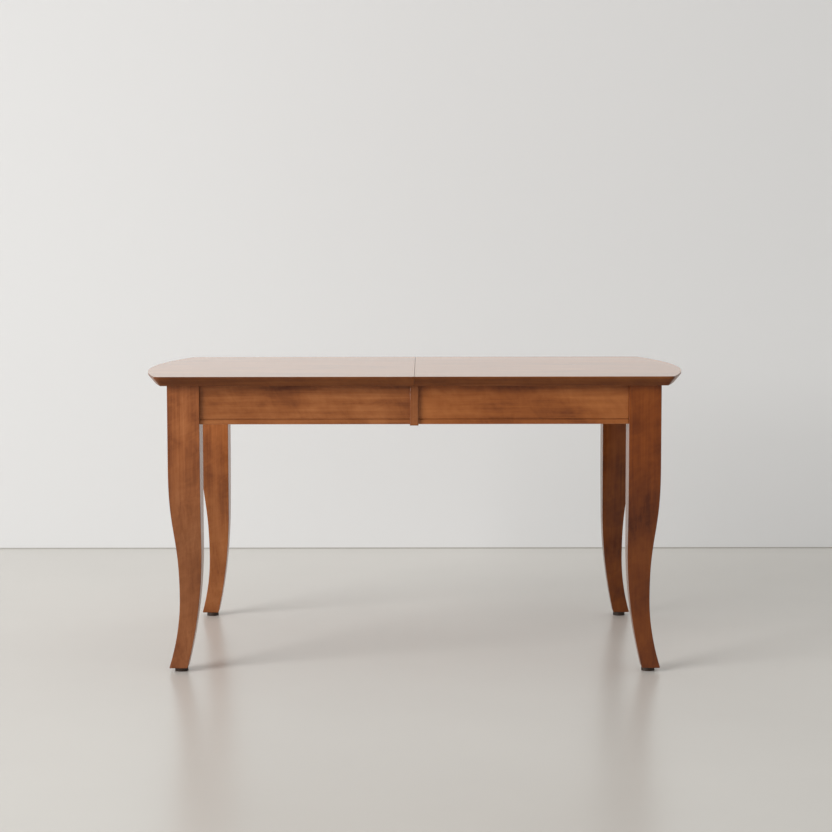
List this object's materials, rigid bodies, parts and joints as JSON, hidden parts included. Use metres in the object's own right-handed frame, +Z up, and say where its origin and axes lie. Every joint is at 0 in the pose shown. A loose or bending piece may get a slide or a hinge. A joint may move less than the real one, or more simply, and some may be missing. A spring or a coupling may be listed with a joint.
{
  "type": "butterfly leaf table",
  "caption": "Wooden dining table with bowed ends and sabre legs, whose halves pull apart on geared slides to bare a folded leaf stored below.",
  "frame": {"origin": "on the floor under the middle of the closed top", "axes": "+X along the table to the right, -Y towards the viewer, +Z up"},
  "size_m": [1.4318, 0.914, 0.762],
  "materials": {
    "table_wood": "satin lacquer",
    "leg_wood": "satin lacquer",
    "slide_wood": "planed, waxed",
    "steel": "zinc plated",
    "brass": "satin",
    "nylon": "moulded",
    "glide_plastic": "moulded"
  },
  "bodies": {
    "carriage": {"centre_rail_front": "slide_wood", "centre_rail_back": "slide_wood", "gear_pin_front": "steel", "gear_pin_back": "steel", "cross_batten_left": "slide_wood", "cross_batten_right": "slide_wood", "leaf_rest_left": "slide_wood", "leaf_rest_right": "slide_wood", "leaf_pivots": "steel", "leaf_lower_half": "table_wood", "leaf_upper_half": "table_wood", "leaf_hinge_cases": "brass", "leaf_hinge_links": "steel"},
    "right_half": {"top_right": "table_wood", "alignment_keys_right": "brass", "corner_blocks_right": "slide_wood", "hanger_bolts_right": "steel", "hanger_nuts_right": "steel", "glides_right": "glide_plastic", "end_apron_right": "leg_wood", "lock_base_right": "steel", "lock_keeper_right": "steel", "leg_front_right": "leg_wood", "leg_back_right": "leg_wood", "side_apron_front_right": "leg_wood", "side_apron_back_right": "leg_wood", "half_rail_front_right": "slide_wood", "half_rail_back_right": "slide_wood", "rack_front_right": "nylon", "rack_back_right": "nylon", "seam_strip_back": "leg_wood"},
    "left_half": {"top_left": "table_wood", "alignment_keys_left": "brass", "corner_blocks_left": "slide_wood", "hanger_bolts_left": "steel", "hanger_nuts_left": "steel", "glides_left": "glide_plastic", "end_apron_left": "leg_wood", "lock_base_left": "steel", "lock_keeper_left": "steel", "leg_front_left": "leg_wood", "leg_back_left": "leg_wood", "side_apron_front_left": "leg_wood", "side_apron_back_left": "leg_wood", "half_rail_front_left": "slide_wood", "half_rail_back_left": "slide_wood", "rack_front_left": "nylon", "rack_back_left": "nylon", "seam_strip_front": "leg_wood"},
    "gear_front": {"equaliser_gear_front": "nylon"},
    "gear_back": {"equaliser_gear_back": "nylon"},
    "lever_front": {"lock_lever_front": "steel"},
    "lever_back": {"lock_lever_back": "steel"}
  },
  "joints": [
    {"name": "right_slide", "type": "slide", "parent": "carriage", "child": "right_half", "axis": [1, 0, 0], "range_m": [0, 0.25]},
    {"name": "left_slide", "type": "slide", "parent": "carriage", "child": "left_half", "axis": [-1, 0, 0], "range_m": [0, 0.25]},
    {"name": "gear_front_spin", "type": "hinge", "parent": "carriage", "child": "gear_front", "pos_m": [0, -0.285, 0.721], "axis": [0, 0, 1], "range_deg": [-690, 0]},
    {"name": "gear_back_spin", "type": "hinge", "parent": "carriage", "child": "gear_back", "pos_m": [0, 0.285, 0.721], "axis": [0, 0, 1], "range_deg": [-690, 0]},
    {"name": "lever_front_turn", "type": "hinge", "parent": "left_half", "child": "lever_front", "pos_m": [-0.029, -0.11, 0.733], "axis": [0, 0, -1], "range_deg": [0, 90]},
    {"name": "lever_back_turn", "type": "hinge", "parent": "right_half", "child": "lever_back", "pos_m": [0.029, 0.11, 0.733], "axis": [0, 0, -1], "range_deg": [0, 90]}
  ],
  "couplings": [
    {"joint": "left_slide", "follows": "right_slide", "ratio": 1},
    {"joint": "gear_front_spin", "follows": "right_slide", "rad_per_m": -47.619},
    {"joint": "gear_back_spin", "follows": "right_slide", "rad_per_m": -47.619}
  ]
}
